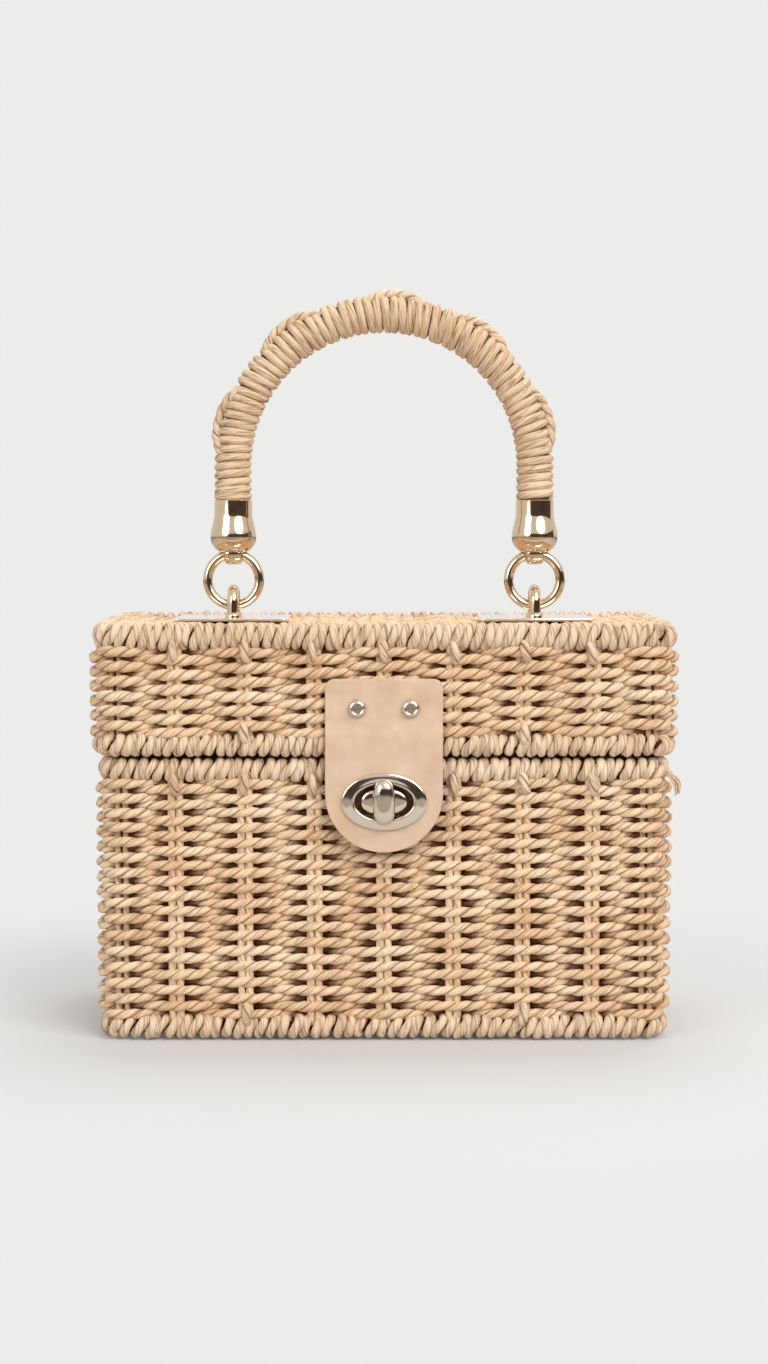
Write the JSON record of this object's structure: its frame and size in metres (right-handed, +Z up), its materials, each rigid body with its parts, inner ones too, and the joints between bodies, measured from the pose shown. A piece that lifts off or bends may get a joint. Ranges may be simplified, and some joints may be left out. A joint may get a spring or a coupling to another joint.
{
  "type": "woven box bag",
  "caption": "Rigid box handbag woven from twisted paper cord, with a hinged lid, a leather tab closed by a turn lock, and a cord-wrapped arched handle on metal rings.",
  "frame": {"origin": "centre of the flat underside of the base panel", "axes": "+Z up, towards the handle; +X to the right of someone facing the lock; -Y is the front with the lock"},
  "size_m": [0.221, 0.1212, 0.2865],
  "materials": {
    "paper_cord": "matt natural",
    "rose_gold_metal": "polished",
    "plain_steel": "satin",
    "leather": "smooth, low sheen",
    "core_plastic": "plain"
  },
  "bodies": {
    "basket": {"body_wall": "paper_cord", "base_border": "paper_cord", "base_panel": "paper_cord", "body_rim": "paper_cord", "hinge_lashings": "paper_cord", "lock_base": "rose_gold_metal", "lock_backplate": "plain_steel"},
    "lid": {"lid_rim": "paper_cord", "lid_wall": "paper_cord", "lid_top_border": "paper_cord", "lid_top_panel": "paper_cord", "left_plate": "rose_gold_metal", "right_plate": "rose_gold_metal", "left_staple": "rose_gold_metal", "right_staple": "rose_gold_metal", "staple_washers": "plain_steel", "clasp_tab": "leather", "clasp_bezel": "rose_gold_metal", "clasp_backing": "plain_steel", "tab_screws": "rose_gold_metal", "tab_washers": "plain_steel"},
    "left_ring": {"left_ring": "rose_gold_metal"},
    "right_ring": {"right_ring": "rose_gold_metal"},
    "handle": {"handle_core": "core_plastic", "handle_wrap": "paper_cord", "handle_lacing": "paper_cord", "left_ferrule": "rose_gold_metal", "right_ferrule": "rose_gold_metal"},
    "knob": {"lock_knob": "rose_gold_metal"}
  },
  "joints": [
    {"name": "lid_hinge", "type": "hinge", "parent": "basket", "child": "lid", "pos_m": [0, 0.0503, 0.112], "axis": [-1, 0, 0], "range_deg": [0, 105], "deforming": ["clasp_tab", "clasp_bezel", "clasp_backing"]},
    {"name": "left_ring_swing", "type": "hinge", "parent": "lid", "child": "left_ring", "pos_m": [-0.0595, 0, 0.1625], "axis": [1, 0, 0], "range_deg": [-60, 60]},
    {"name": "right_ring_swing", "type": "hinge", "parent": "lid", "child": "right_ring", "pos_m": [0.0595, 0, 0.1625], "axis": [1, 0, 0], "range_deg": [-60, 60]},
    {"name": "handle_tilt", "type": "hinge", "parent": "left_ring", "child": "handle", "pos_m": [-0.0595, 0, 0.1829], "axis": [1, 0, 0], "range_deg": [-30, 30]},
    {"name": "knob_turn", "type": "hinge", "parent": "basket", "child": "knob", "pos_m": [0, -0.058, 0.0914], "axis": [0, 1, 0], "range_deg": [0, 90]}
  ],
  "couplings": [
    {"joint": "right_ring_swing", "follows": "left_ring_swing", "ratio": 1}
  ]
}
